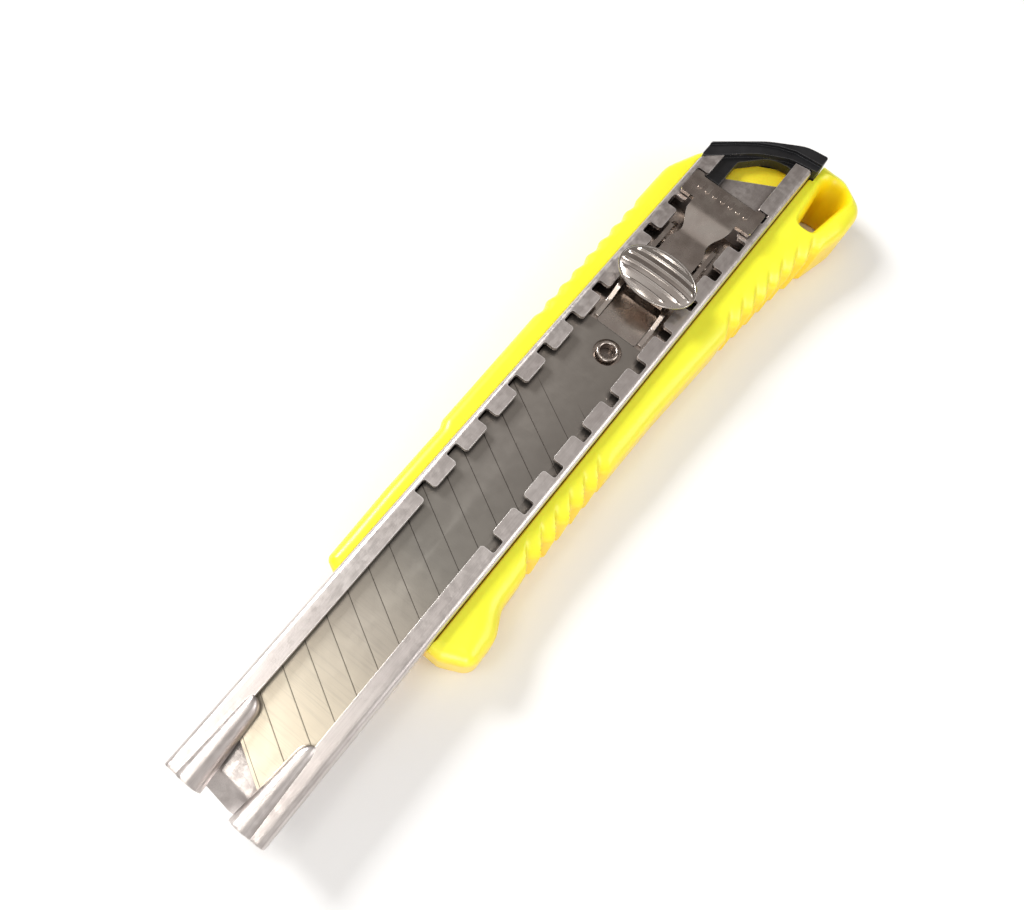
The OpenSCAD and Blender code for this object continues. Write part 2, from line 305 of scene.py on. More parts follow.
def handle_body():
    """The moulding before it is cut: rounded all round, with its grip grooves."""
    step = 0.45
    guard_edge, thumb_edge, edge_drop, foot_r = 4.4, 2.4, 3.2, 1.2
    outline = spaced(rounded(HANDLE_CORNERS), step)
    inward = wrap_mean(right_of_travel(outline), 2)
    inward /= np.linalg.norm(inward, axis=1, keepdims=True)

    # The rounding is as wide as the outline's own corners allow
    heading = np.unwrap(np.arctan2(inward[:, 1], inward[:, 0]))
    reach = 3
    turning = (np.roll(heading, reach) - np.roll(heading, -reach) + math.pi) % (2 * math.pi) - math.pi
    allowed = 0.75 * 2 * reach * step / np.maximum(turning, 1e-3)
    wanted = np.where(outline[:, 1] < -11, guard_edge, thumb_edge)
    edge = np.minimum(wanted, allowed)
    edge = np.min([np.roll(edge, k) for k in range(-4, 5)], axis=0)
    edge = wrap_mean(edge, 7)
    drop = np.minimum(edge_drop, 0.7 * edge + 0.6)
    foot = np.minimum(foot_r, edge)

    rings = []

    def ring(inset, height, groove_share):
        depth = groove_share * groove_depth(outline[:, 0], outline[:, 1], height, inset)
        at = outline + inward * (inset + depth)[:, None]
        rings.append(np.column_stack([at, height]))

    for angle in np.radians(np.linspace(0, 75, 5)):
        ring(foot * (1 - math.sin(angle)), foot * (1 - math.cos(angle)), math.sin(angle))
    wall_rings = 13
    for share in np.linspace(0, 1, wall_rings):
        height = foot + (HANDLE_TOP - drop - foot) * share
        ring(np.zeros(len(outline)), height, 1)
    for angle in np.radians(np.linspace(9, 90, 10)):
        ring(edge * (1 - math.cos(angle)), HANDLE_TOP - drop * (1 - math.sin(angle)), math.cos(angle) ** 0.6)
    return loft("handle_shell", rings)


def lanyard_cutter():
    """The hole, flared where it meets the top and the back of the handle."""
    outline = spaced(rounded(LANYARD_CORNERS), 0.35)
    outward = -right_of_travel(outline)
    front = outline[:, 0].min()
    top = HANDLE_TOP
    flare = [(-1, 0.3), (0, 0.3), (0.25, 0.1), (0.7, 0), (top - 3.6, 0), (top - 2.4, 0.12), (top - 1.4, 0.42),
             (top - 0.7, 0.85), (top - 0.25, 1.3), (top, 1.8), (top + 0.5, 2.6)]
    rings = []
    for z, wide in flare:
        # The rear wall leans back as it rises
        shorter = 1 - 0.26 * float(smoothstep((top - 2 - z) / (top - 2)))
        level = np.column_stack([front + (outline[:, 0] - front) * shorter, outline[:, 1]])
        rings.append(np.column_stack([level + outward * wide, np.full(len(outline), z)]))
    return loft("cut", rings)


def channel_cutter():
    """The open channel that the rail lies in, with rounded top edges."""
    bed_z = FLOOR_TOP - 0.1
    lip_r = 0.4
    side = [(BED_HALF, bed_z)] + [
        (BED_HALF + lip_r * (1 - math.cos(a)), HANDLE_TOP - lip_r * (1 - math.sin(a)))
        for a in np.radians(np.linspace(0, 90, 6))] + [(BED_HALF + lip_r, HANDLE_TOP + 2)]
    section = side + [(-y, z) for y, z in reversed(side)]
    return prism("cut", section, -60, 95, along)


def make_handle():
    bed_front, bed_rear = -60, 62
    floor_cut = prism("cut", [(bed_front, -BED_HALF), (bed_rear, -BED_HALF), (bed_rear, BED_HALF),
                              (bed_front, BED_HALF)], FLOOR_Z, FLOOR_TOP)
    cap_cut = prism("cut", CAP_SPACE, -1, HANDLE_TOP + 1)
    shell = combine(handle_body(), "DIFFERENCE", channel_cutter(), floor_cut, cap_cut, lanyard_cutter())
    return shaded(shell, 32)


# ---------------------------------------------------------------- rail

RIB_END = -71
FLOOR_STEPS = 10
NOTCH_X, NOTCH_PITCH, NOTCH_W, NOTCH_COUNT = -28, 9, 2.9, 11
NOTCH_Y = LIP_IN + 2.65


def floor_drop(x, y):
    """How far the floor's front end is bent down: one facet to the front, one to the guard side."""
    ahead = max(0, -83.4 - x + 0.1 * y)
    aside = max(0, -(y + 3.5) * 0.75 - (x + 84.5) * 0.66)
    return 0.55 * ahead + 0.5 * aside


def half_section(x, inset):
    """One side of the rail's section, from the middle of the floor to the lip's inner edge.

    inset is 0 for the outside of the sheet and its thickness for the inside."""
    bend_r = 1.2
    nose = min(1, max(0, (RIB_END - x) / (RIB_END - rail_low[0])))
    start = math.sqrt(1 - (1 - min(1, nose / 0.13)) ** 2)
    rib_r = 0.05 + 1.5 * start + 1.15 * nose
    rib_top = LIP_Z + 0.5 * start + 0.5 * nose
    inner_r = max(rib_r - inset, 0.03)
    rib_y = LIP_IN + 0.05 - 0.5 * start - 0.25 * nose
    rib_z = rib_top - inset - inner_r
    edge_z = LIP_UNDER - 0.05 - float(smoothstep(nose / 0.3)) * (LIP_UNDER - BLADE_TOP - 0.25)

    r = bend_r - inset
    side_y = RAIL_HALF - bend_r
    floor_y = [side_y * k / FLOOR_STEPS for k in range(FLOOR_STEPS)]
    points = [(y, FLOOR_Z + inset - floor_drop(x, y)) for y in floor_y]
    for centre_z, first, last in ((FLOOR_Z + bend_r, -90, 0), (LIP_Z - bend_r, 0, 90)):
        for angle in np.radians(np.linspace(first, last, 6)):
            points.append((side_y + r * math.cos(angle), centre_z + r * math.sin(angle)))
    join = math.asin(min(1, max(0, (LIP_Z - inset - rib_z) / inner_r)))
    join_y = rib_y + inner_r * math.cos(join)
    for share in (0.3, 0.6, 0.85):
        points.append((side_y + (join_y - side_y) * share, LIP_Z - inset))
    for angle in np.linspace(join, math.pi, 13):
        points.append((rib_y + inner_r * math.cos(angle), rib_z + inner_r * math.sin(angle)))
    points.append((rib_y - inner_r, min(edge_z, rib_z - 0.01)))
    return points


def rail_ring(x):
    def both_sides(inset):
        right = half_section(x, inset)
        left = [(-y, z) for y, z in right]
        for k in range(FLOOR_STEPS):  # the floor's front end isn't the same on both sides
            y = left[k][0]
            left[k] = (y, FLOOR_Z + inset - floor_drop(x, y))
        return left[:0:-1] + right
    ring = both_sides(0) + both_sides(SHEET)[::-1]
    return [(x, y, z) for y, z in ring]


def notch_cutter():
    """All the lock notches, with round corners at the back and at the tips of the teeth."""
    mouth = LIP_IN - 0.01
    cutters = []
    for i in range(NOTCH_COUNT):
        x0 = NOTCH_X + i * NOTCH_PITCH
        x1 = x0 + NOTCH_W
        for side in (-1, 1):
            corners = [[x0 - 1.4, mouth - 1, 0.1], [x0 - 1.4, mouth, 0.05], [x0, mouth, 0.65],
                       [x0, NOTCH_Y, 0.45], [x1, NOTCH_Y, 0.45], [x1, mouth, 0.65],
                       [x1 + 1.4, mouth, 0.05], [x1 + 1.4, mouth - 1, 0.1]]
            outline = [(x, side * y) for x, y in rounded(corners, 15)]
            cutters.append(prism("cut", outline, LIP_UNDER - 0.3, LIP_Z + 0.6))
    return joined("cut", cutters)


def make_rail():
    rounding = [RIB_END - 2.1 * (1 - math.cos(a)) for a in np.radians(np.linspace(0, 80, 9))]
    stations = list(np.linspace(rail_low[0], rounding[-1] - 0.4, 26)) + rounding[::-1] + [rail_high[0]]
    channel = loft("rail_channel", [rail_ring(x) for x in stations])
    front_cut = prism("cut", [(-86.0, -RAIL_IN), (-87, -2), (-85.7, RAIL_IN), (-92, RAIL_IN),
                              (-92, -RAIL_IN)], FLOOR_Z - 6, FLOOR_TOP + 0.3)
    rear_cut = prism("cut", [(65.6, RAIL_IN), (77.3, -RAIL_IN), (95, -RAIL_IN), (95, RAIL_IN)],
                     FLOOR_Z - 1, FLOOR_TOP + 0.3)
    cap_cut = prism("cut", CAP_SPACE, FLOOR_Z - 2, LIP_Z + 2)
    combine(channel, "DIFFERENCE", notch_cutter(), front_cut, rear_cut, cap_cut)
    bevelled(channel, 0.17, 2, 50)
    return shaded(channel, 30)


# ---------------------------------------------------------------- slider

def strip(name, path, thickness, width_at):
    """Bent strip of sheet: path is its top line in X and Z, width_at gives its half width."""
    rings = []
    for k, (x, z) in enumerate(path):
        before, after = path[max(0, k - 1)], path[min(len(path) - 1, k + 1)]
        heading = Vector((after[0] - before[0], after[1] - before[1])).normalized()
        down = (heading.y * thickness, -heading.x * thickness)
        half = width_at(x)
        rings.append([(x, -half, z), (x, half, z), (x + down[0], half, z + down[1]),
                      (x + down[0], -half, z + down[1])])
    return loft(name, rings)


LOCK_SHEET = 0.7
WING_Z = 15.7
WING_FRONT = 57


def pin_hole(radius):
    """Cutter for the cross pin's hole: loose in the lock plate's ears, tight in the carriage."""
    centre = (pin_low[0] + pin_high[0]) / 2, (pin_low[2] + pin_high[2]) / 2
    return prism("cut", circle(centre, radius, 24), -8, 8, across)


def lock_pedestal():
    """Front wall, top and rear wall under the button, the web behind them and the neck."""
    front, rear, web_z = lock_low[0], 38.2, 14.2
    top = button_low[2]
    path = open_rounded([[front, web_z + 0.05], [front, top, 0.9], [rear, top, 0.9],
                         [rear, web_z + LOCK_SHEET, 0.3], [50.4, web_z + LOCK_SHEET, 4],
                         [54.4, WING_Z + LOCK_SHEET, 4], [58.2, WING_Z + LOCK_SHEET]])

    def width_at(x):
        waist = 4.2 - 0.9 * float(smoothstep((x - 46.5) / 3))
        return waist + 1.9 * float(smoothstep((x - 50) / 4.6))

    return strip("lock_plate_sheet", finely(path, 0.5), LOCK_SHEET, width_at)


def lock_wing():
    """The plate that lies across both lips, with its front edges turned down."""
    half, rear = lock_high[1], lock_high[0]
    top = WING_Z + LOCK_SHEET
    turned_down = LIP_Z + 0.25
    plate = prism("wing", rounded([[WING_FRONT, -half, 0.5], [WING_FRONT, half, 0.5], [rear, half, 0.7],
                                   [rear, 6.9, 0.3], [rear - 0.7, 6.4, 0.3], [rear - 0.7, -6.4, 0.3],
                                   [rear, -6.9, 0.3], [rear, -half, 0.7]]), WING_Z, top)
    parts = []
    for side in (-1, 1):
        low, high = sorted((side * 4.9, side * (half - 0.25)))
        flange = [(WING_FRONT, turned_down), (WING_FRONT, top - 0.3), (WING_FRONT + 0.3, top - 0.02),
                  (WING_FRONT + LOCK_SHEET, top - 0.1), (WING_FRONT + LOCK_SHEET, turned_down)]
        parts.append(prism("flange", flange, low, high, across))
        low, high = sorted((side * (half - 1.8), side * (half - 0.1)))
        tooth = [(rear - LOCK_SHEET, turned_down), (rear - LOCK_SHEET, WING_Z + 0.2),
                 (rear - 0.02, WING_Z + 0.2), (rear - 0.02, turned_down)]
        parts.append(prism("tooth", tooth, low, high, across))
        low, high = sorted((side * 3.5, side * 4.18))
        ear = [(44.7, 12.8), (44.7, 14.4), (47.3, 14.4), (47.3, 12.8)]
        parts.append(prism("ear", rounded([[*p, 0.4] for p in ear]), low, high, across))
    # Plain raised grip beads along the wing's rear half
    bead_z = top + 0.32
    for k in range(7):
        y = (k - 3) * 1.9
        bead = rounded([[59.4, y - 0.48, 0.4], [59.4, y + 0.48, 0.4], [61.5, y + 0.48, 0.4],
                        [61.5, y - 0.48, 0.4]], 20)
        parts.append(prism("bead", bead, WING_Z + 0.3, bead_z))
    return plate, parts


def make_lock_plate():
    plate, parts = lock_wing()
    sheet = combine(lock_pedestal(), "UNION", plate, *parts)
    combine(sheet, "DIFFERENCE", pin_hole(0.64))
    bevelled(sheet, 0.1, 2, 45)
    return shaded(sheet, 32)


def make_return_spring():
    """Leaf with a flat foot and a tip that rises under the rivet."""
    leaf_t, bend_x, bend_r = 0.3, 40, 1.5
    foot_top = leaf_low[2] + leaf_t
    path = open_rounded([[leaf_low[0], leaf_high[2]], [bend_x, foot_top, bend_r], [leaf_high[0], foot_top]])
    return shaded(strip("return_leaf", finely(path, 0.4), leaf_t, lambda x: leaf_high[1]), 32)


def make_carriage():
    base_top = blade_low[2]
    flange_in, flange_out = 4.8, 5.7
    top = carriage_high[2]
    low_x, high_x = carriage_low[0], carriage_high[0]
    half = carriage_high[1]
    base = prism("slider_carriage", rounded([[low_x, -half, 1.5], [low_x, half, 1.5], [high_x, half, 1],
                                             [high_x, -half, 1]]), carriage_low[2], base_top)
    flanges = []
    for side in (-1, 1):
        profile = rounded([[23.4, carriage_low[2] + 0.1, 0.1], [23.4, base_top + 0.5, 0.3],
                           [27.4, base_top + 0.9, 2.2], [30.4, top, 1.2], [49.4, top, 0.9],
                           [51.6, base_top + 1, 1.2], [53, carriage_low[2] + 0.1, 0.1]])
        low, high = sorted((side * flange_in, side * flange_out))
        flanges.append(prism("flange", profile, low, high, across))
    tongue = rounded([[blade_high[0] + 0.1, -4.6, 0.5], [blade_high[0] + 0.1, 4.6, 0.5], [31, 4.6, 0.5],
                      [31, -4.6, 0.5]])
    flanges.append(prism("tongue", tongue, base_top - 0.2, BLADE_TOP - 0.03))
    combine(base, "UNION", *flanges)
    stud_x = (stud_low[0] + stud_high[0]) / 2
    stud_y = (stud_low[1] + stud_high[1]) / 2
    stud_hole_r = 1.9
    stud_hole = prism("cut", circle((stud_x, stud_y), stud_hole_r, 40), 5, 20)
    combine(base, "DIFFERENCE", stud_hole, pin_hole(0.6))
    bevelled(base, 0.12, 2, 45)
    return shaded(base, 32)


def make_button():
    """Oval dome with ridges across it and a rolled rim, on the seat that fits the pedestal."""
    mid_x = (button_low[0] + button_high[0]) / 2
    half_l = (button_high[0] - button_low[0]) / 2
    half_w = button_high[1]
    rim_z, top = 18.85, button_high[2]
    rim_r = 0.42
    ridge_pitch, ridges, ridge_h, ridge_share = 1.72, 6, 0.36, 0.42
    dome_l, dome_w = half_l - rim_r * 0.9, half_w - rim_r * 0.9
    rows, columns = 161, 41

    def crest(x, reach):
        """Height of the narrow ridges at x, fading out toward the rim."""
        place = x / ridge_pitch + (ridges - 1) / 2
        if place < -0.5 or place > ridges - 0.5:
            return 0
        off = abs(place - round(place)) * 2
        return ridge_h * max(0, 1 - off / ridge_share) * float(smoothstep((1 - reach) / 0.16))

    verts, faces = [], []
    for i in range(rows):
        x = dome_l * math.sin(math.pi * (i / (rows - 1) - 0.5))
        wide = dome_w * math.sqrt(max(0, 1 - (x / dome_l) ** 2))
        for j in range(columns):
            y = wide * math.sin(math.pi * (j / (columns - 1) - 0.5))
            reach = math.hypot(x / dome_l, y / dome_w)
            dome = (top - ridge_h - rim_z) * (1 - reach ** 2.6)
            verts.append((mid_x + x, y, rim_z + dome + crest(x, reach)))
    for i in range(rows - 1):
        for j in range(columns - 1):
            a = i * columns + j
            faces.append((a, a + 1, a + columns + 1, a + columns))

    mesh = bpy.data.meshes.new("button_cap")
    mesh.from_pydata([(x * MM, y * MM, z * MM) for x, y, z in verts], [], faces)
    work = bmesh.new()
    work.from_mesh(mesh)
    bmesh.ops.remove_doubles(work, verts=work.verts, dist=1e-6)
    bmesh.ops.recalc_face_normals(work, faces=work.faces)
    # Roll the edge over: out, down and back in underneath, then close the underside
    edge = [e for e in work.edges if e.is_boundary]
    roll = [(0.25, 0.12), (0.7, 0.02), (0.95, -0.25), (1.0, -0.55), (0.85, -0.95), (0.4, -1.15), (-0.5, -1.1),
            (-1.6, -0.7)]
    base = {}
    for e in edge:
        for v in e.verts:
            base[v] = v.co.copy()
    loop = list(base)
    centre = Vector((mid_x * MM, 0, 0))
    for out, up in roll:
        made = bmesh.ops.extrude_edge_only(work, edges=edge)["geom"]
        new_verts = [g for g in made if isinstance(g, bmesh.types.BMVert)]
        edge = [g for g in made if isinstance(g, bmesh.types.BMEdge)
                and all(v in new_verts for v in g.verts)]
        for v in new_verts:
            nearest = min(loop, key=lambda w: (w.co.xy - v.co.xy).length_squared)
            start = base[nearest]
            away = Vector(((start.x - centre.x) / dome_l ** 2, start.y / dome_w ** 2, 0)).normalized()
            v.co = start + away * rim_r * out * MM + Vector((0, 0, rim_r * up * MM))
        base = {v: base[min(loop, key=lambda w: (base[w].xy - v.co.xy).length_squared)] for v in new_verts}
        loop = list(base)
    bmesh.ops.contextual_create(work, geom=edge)
    bmesh.ops.recalc_face_normals(work, faces=work.faces)
    work.to_mesh(mesh)
    work.free()
    cap = bpy.data.objects.new("button_cap", mesh)
    bpy.context.scene.collection.objects.link(cap)
    seat = prism("seat", rounded([[mid_x - 3, -4.1, 0.8], [mid_x - 3, 4.1, 0.8], [mid_x + 3, 4.1, 0.8],
                                  [mid_x + 3, -4.1, 0.8]]), button_low[2], rim_z)
    combine(cap, "UNION", seat)
    return shaded(cap, 24)


# ---------------------------------------------------------------- end cap

def make_end_cap():
    fork_z, fork_top = FLOOR_TOP + 0.2, LIP_UNDER - 0.2
    fork_half = RAIL_IN - 0.3
    wall_low, wall_top = cap_low[2], cap_high[2]
    outline = spaced(rounded(CAP_CORNERS), 0.3)
    inward = right_of_travel(outline, 1)
    profile = [(0.2, wall_low), (0, wall_low + 0.2), (0, wall_top - 0.3), (0.06, wall_top - 0.1),
               (0.2, wall_top)]
    wall = loft("rear_cap", [np.column_stack([outline + inward * inset, np.full(len(outline), z)])
                             for inset, z in profile])
    fork = prism("fork", rounded([[cap_low[0], fork_half, 0.5], [69.5, fork_half, 1], [78.6, -1, 2],
                                  [82.4, -fork_half, 0.4], [cap_low[0], -fork_half, 0.5]]), fork_z, fork_top)
    slot = prism("cut", rounded([[60, 3.5, 0.1], [72.6, 3.5, 1.2], [78.4, -1.4, 6], [79.4, -6.6, 1],
                                 [60, -6.6, 0.1]]), 5, 25)
    step = prism("cut", [(64, 12), (70.3, 11.2), (75.2, 6.3), (78.4, 2.3), (80.6, -1.3), (82.1, -5.0),
                         (82.9, -12.5), (75, -13)], wall_top - 0.75, wall_top + 1)
    combine(wall, "UNION", fork)
    combine(wall, "DIFFERENCE", slot, step)
    bevelled(wall, 0.12, 2, 50)
    return shaded(wall, 35)


# ---------------------------------------------------------------- materials

def set_stops(node, stops):
    """Gives a colour ramp its stops, each a position and a colour."""
    points = node.color_ramp.elements
    while len(points) < len(stops):
        points.new(0.5)
    for point, (position, colour) in zip(points, stops):
        point.position = position
        point.color = (*colour, 1)


class Recipe:
    """A small node graph on a Principled shader, in object coordinates in metres."""

    def __init__(self, name, **constants):
        self.material = bpy.data.materials.new(name)
        self.material.use_nodes = True
        self.nodes = self.material.node_tree.nodes
        self.links = self.material.node_tree.links
        self.shader = self.nodes["Principled BSDF"]
        for socket, value in constants.items():
            self.shader.inputs[socket.replace("_", " ")].default_value = value
        self.place = self.nodes.new("ShaderNodeTexCoord").outputs["Object"]

    def link(self, source, target):
        self.links.new(source, target)

    def stretched(self, x, y, z):
        node = self.nodes.new("ShaderNodeMapping")
        node.inputs["Scale"].default_value = (x, y, z)
        self.link(self.place, node.inputs["Vector"])
        return node.outputs["Vector"]

    def noise(self, scale, detail=3, vector=None, roughness=0.5):
        node = self.nodes.new("ShaderNodeTexNoise")
        node.inputs["Scale"].default_value = scale
        node.inputs["Detail"].default_value = detail
        node.inputs["Roughness"].default_value = roughness
        self.link(vector or self.place, node.inputs["Vector"])
        return node.outputs["Fac"]

    def ramp(self, source, stops):
        node = self.nodes.new("ShaderNodeValToRGB")
        set_stops(node, stops)
        self.link(source, node.inputs["Fac"])
        return node.outputs["Color"]

    def mix(self, factor, a, b):
        """a where the factor is 0 and b where it is 1, each a socket or a colour."""
        node = self.nodes.new("ShaderNodeMix")
        node.data_type = "RGBA"
        for socket, value in (("Factor", factor), ("A", a), ("B", b)):
            target = [i for i in node.inputs if i.name == socket and i.enabled][0]
            if isinstance(value, bpy.types.NodeSocket):
                self.link(value, target)
            else:
                target.default_value = (*value, 1)
        return [o for o in node.outputs if o.enabled][0]

    def math(self, operation, *values):
        node = self.nodes.new("ShaderNodeMath")
        node.operation = operation
        for target, value in zip(node.inputs, values):
            if isinstance(value, bpy.types.NodeSocket):
                self.link(value, target)
            else:
                target.default_value = value
        return node.outputs[0]

    def axis(self, vector, name):
        node = self.nodes.new("ShaderNodeSeparateXYZ")
        self.link(vector, node.inputs[0])
        return node.outputs[name]

    def between(self, value, low, high, out_low=0.0, out_high=1.0):
        node = self.nodes.new("ShaderNodeMapRange")
        node.interpolation_type = "SMOOTHSTEP"
        for socket, number in (("From Min", low), ("From Max", high), ("To Min", out_low),
                               ("To Max", out_high)):
            node.inputs[socket].default_value = number
        self.link(value, node.inputs["Value"])
        return node.outputs[0]

    def geometry(self, name):
        return self.nodes.new("ShaderNodeNewGeometry").outputs[name]

    def edges(self, radius, low=0.02, high=0.25):
        """1 where the surface turns a corner within the radius, in metres."""
        soft = self.nodes.new("ShaderNodeBevel")
        soft.samples = 6
        soft.inputs["Radius"].default_value = radius
        agree = self.nodes.new("ShaderNodeVectorMath")
        agree.operation = "DOT_PRODUCT"
        self.link(soft.outputs[0], agree.inputs[0])
        self.link(self.geometry("Normal"), agree.inputs[1])
        return self.between(agree.outputs["Value"], 1 - high, 1 - low, 1, 0)

    def hollows(self, reach, low=0.35, high=0.8):
        """1 where nearby surfaces close the place in."""
        node = self.nodes.new("ShaderNodeAmbientOcclusion")
        node.samples = 6
        node.inputs["Distance"].default_value = reach
        return self.between(node.outputs["AO"], low, high, 1, 0)

    def colour(self, source):
        self.link(source, self.shader.inputs["Base Color"])

    def roughness(self, source, low, high):
        self.link(self.between(source, 0.3, 0.7, low, high), self.shader.inputs["Roughness"])

    def bump(self, source, height, after=None):
        node = self.nodes.new("ShaderNodeBump")
        node.inputs["Strength"].default_value = 1
        node.inputs["Distance"].default_value = height
        self.link(source, node.inputs["Height"])
        if after:
            self.link(after, node.inputs["Normal"])
        self.link(node.outputs[0], self.shader.inputs["Normal"])
        return node.outputs[0]


def yellow_abs():
    """Glossy lemon ABS with painted shade that turns it golden on its walls, low down, on the floor of the
    rail's bed and in its hollows.
    """
    m = Recipe("yellow_abs", IOR=1.5, Subsurface_Weight=0.12, Subsurface_Scale=0.002, Coat_Weight=0.15,
               Coat_Roughness=0.12)
    # Painted shade: faces that turn away from straight up go golden, tops stay lemon
    facing_up = m.axis(m.geometry("Normal"), "Z")
    tone = m.mix(m.between(facing_up, 0.05, 1.0), (0.92, 0.66, 0.0), (0.9, 0.89, 0.03))
    # Painted shade: golden toward the underside, strongest below 4 mm and gone above 11 mm
    height = m.axis(m.place, "Z")
    tone = m.mix(m.between(height, 0.004, 0.011, 0.6, 0), tone, (0.9, 0.6, 0.0))
    # Painted shade: deep orange on the floor of the rail's bed, inside the channel and well below the top
    aside = m.math("ABSOLUTE", m.axis(m.place, "Y"))
    painted_bed_shade = m.math("MULTIPLY", m.between(aside, (RAIL_HALF - 0.3) * MM, RAIL_HALF * MM, 1, 0),
                    m.between(height, (HANDLE_TOP - 1.5) * MM, (HANDLE_TOP - 0.8) * MM, 1, 0))
    tone = m.mix(painted_bed_shade, tone, (0.8, 0.38, 0.0))
    # Painted shade: golden orange where nearby surfaces close the place in
    tone = m.mix(m.hollows(0.005, 0.15, 0.7), tone, (0.88, 0.5, 0.0))
    cloud = m.noise(45, 3)
    m.colour(m.mix(m.between(cloud, 0.35, 0.75, 0, 0.15), tone, (0.95, 0.93, 0.1)))
    m.roughness(m.noise(160, 4), 0.3, 0.4)
    m.bump(m.noise(900, 2), 0.00001, m.bump(m.noise(70, 2), 0.00012))
    return m.material


def rail_steel():
    """Satin stamped steel, with drawing lines along the knife and small pits, painted shade in its hollows
    and painted highlights along its edges.
    """
    m = Recipe("rail_steel", Metallic=1.0, Anisotropic=0.3)
    lines = m.noise(1, 3, m.stretched(60, 5200, 5200), 0.65)
    cloud = m.noise(110, 4, m.stretched(0.45, 1, 1))
    tone = m.ramp(cloud, [(0.3, (0.57, 0.515, 0.495)), (0.5, (0.65, 0.6, 0.575)), (0.7, (0.71, 0.665, 0.64))])
    tone = m.mix(m.between(lines, 0.4, 0.75, 0, 0.25), tone, (0.33, 0.3, 0.29))
    # Painted shade: dark brown where nearby surfaces close the place in
    tone = m.mix(m.hollows(0.003), tone, (0.16, 0.13, 0.115))
    # Painted highlight: near white along the edges
    tone = m.mix(m.edges(0.00026, 0.004, 0.08), tone, (1.0, 0.97, 0.94))
    m.colour(tone)
    m.roughness(m.noise(900, 3), 0.3, 0.44)
    m.bump(lines, 0.000004, m.bump(m.noise(3200, 3), 0.00002))
    return m.material


def blade_steel():
    """Ground tool steel: fine grinding across the blade, faint scratches, grime in the scores, and painted
    light that is brightest and warmest at the nose.
    """
    m = Recipe("blade_steel", Metallic=1.0, Anisotropic=0.2)
    grind = m.noise(1, 2, m.stretched(4200, 90, 4200), 0.6)
    cloud = m.noise(60, 4)
    x = m.axis(m.place, "X")
    # Painted light: lightest and warmest at the nose, darkest along the middle, a little lighter again at the
    # rear
    tone = m.ramp(m.between(x, -0.085, 0.03),
                  [(0, (0.72, 0.64, 0.5)), (0.2, (0.52, 0.47, 0.4)), (0.4, (0.31, 0.29, 0.26)),
                   (0.75, (0.29, 0.265, 0.24)), (1, (0.33, 0.3, 0.27))])
    tone = m.mix(m.between(cloud, 0.35, 0.75, 0, 0.06), tone, (0.62, 0.58, 0.5))
    tone = m.mix(m.between(grind, 0.45, 0.8, 0, 0.2), tone, (0.28, 0.26, 0.24))
    # Dark line along each score: distance from the nearest of the slanted lines
    lean, pitch, first = math.tan(math.radians(28)), 0.0054, -0.0737
    slanted = m.math("SUBTRACT", m.math("SUBTRACT", x, m.math("MULTIPLY", m.axis(m.place, "Y"), lean)), first)
    off = m.math("PINGPONG", m.math("ADD", slanted, 20 * pitch), pitch / 2)
    in_score = m.between(off, 0.00003, 0.00012, 0.75, 0)
    before_last = m.between(x, 0.0035, 0.006, 1, 0)
    tone = m.mix(m.math("MULTIPLY", in_score, before_last), tone, (0.05, 0.045, 0.04))
    m.colour(tone)
    m.roughness(m.noise(500, 2), 0.36, 0.41)
    m.bump(grind, 0.000003, m.bump(m.noise(1100, 3), 0.000008))
    return m.material


def plated_steel():
    """Bright nickel plate with painted brown shade in its hollows and painted highlights along its edges."""
    m = Recipe("plated_steel", Metallic=1.0)
    cloud = m.noise(170, 4)
    tone = m.ramp(cloud, [(0.3, (0.42, 0.36, 0.32)), (0.5, (0.48, 0.42, 0.38)), (0.72, (0.56, 0.51, 0.46))])
    # Painted shade: dark brown where nearby surfaces close the place in
    tone = m.mix(m.hollows(0.0012, 0.15, 0.7), tone, (0.2, 0.155, 0.13))
    # Painted highlight: pale along the edges
    m.colour(m.mix(m.edges(0.00014, 0.02, 0.2), tone, (0.85, 0.82, 0.77)))
    m.roughness(m.noise(380, 3), 0.2, 0.3)
    m.bump(m.noise(500, 2), 0.000006)
    return m.material


def button_chrome():
    """Polished nickel-chrome with faint wipe marks, painted brown shade between the ridges and painted
    highlights on the ridges' edges.
    """
    m = Recipe("button_chrome", Metallic=1.0)
    cloud = m.noise(150, 3)
    tone = m.ramp(cloud, [(0.35, (0.48, 0.425, 0.385)), (0.65, (0.6, 0.55, 0.51))])
    # Painted shade: brown between the ridges, where nearby surfaces close the place in
    tone = m.mix(m.hollows(0.0008, 0.5, 0.95), tone, (0.36, 0.29, 0.25))
    # Painted highlight: near white along the crests and edges
    m.colour(m.mix(m.edges(0.00016, 0.01, 0.12), tone, (0.97, 0.95, 0.92)))
    m.roughness(m.noise(260, 3), 0.16, 0.24)
    m.bump(m.noise(1, 2, m.stretched(2600, 300, 2600)), 0.000003)
    return m.material


def black_plastic():
    """Satin black moulding with a painted grey highlight along its edges."""
    m = Recipe("black_plastic", IOR=1.48)
    cloud = m.noise(140, 4)
    tone = m.ramp(cloud, [(0.35, (0.008, 0.008, 0.009)), (0.7, (0.02, 0.02, 0.022))])
    # Painted highlight: grey along the edges
    m.colour(m.mix(m.edges(0.0003), tone, (0.09, 0.09, 0.095)))
    m.roughness(m.noise(500, 4), 0.26, 0.38)
    m.bump(m.noise(2200, 2), 0.00001)
    return m.material


def floor_paper():
    """Matt white paper, a little uneven."""
    m = Recipe("floor_paper", Roughness=0.6)
    m.colour(m.ramp(m.noise(6, 3), [(0.3, (0.9, 0.9, 0.9)), (0.7, (0.93, 0.93, 0.93))]))
    m.bump(m.noise(700, 2), 0.00002)
    return m.material


FINISHES = {
    "yellow_abs": yellow_abs(), "rail_steel": rail_steel(), "blade_steel": blade_steel(),
    "plated_steel": plated_steel(), "button_chrome": button_chrome(), "black_plastic": black_plastic(),
}


# ---------------------------------------------------------------- put the knife together

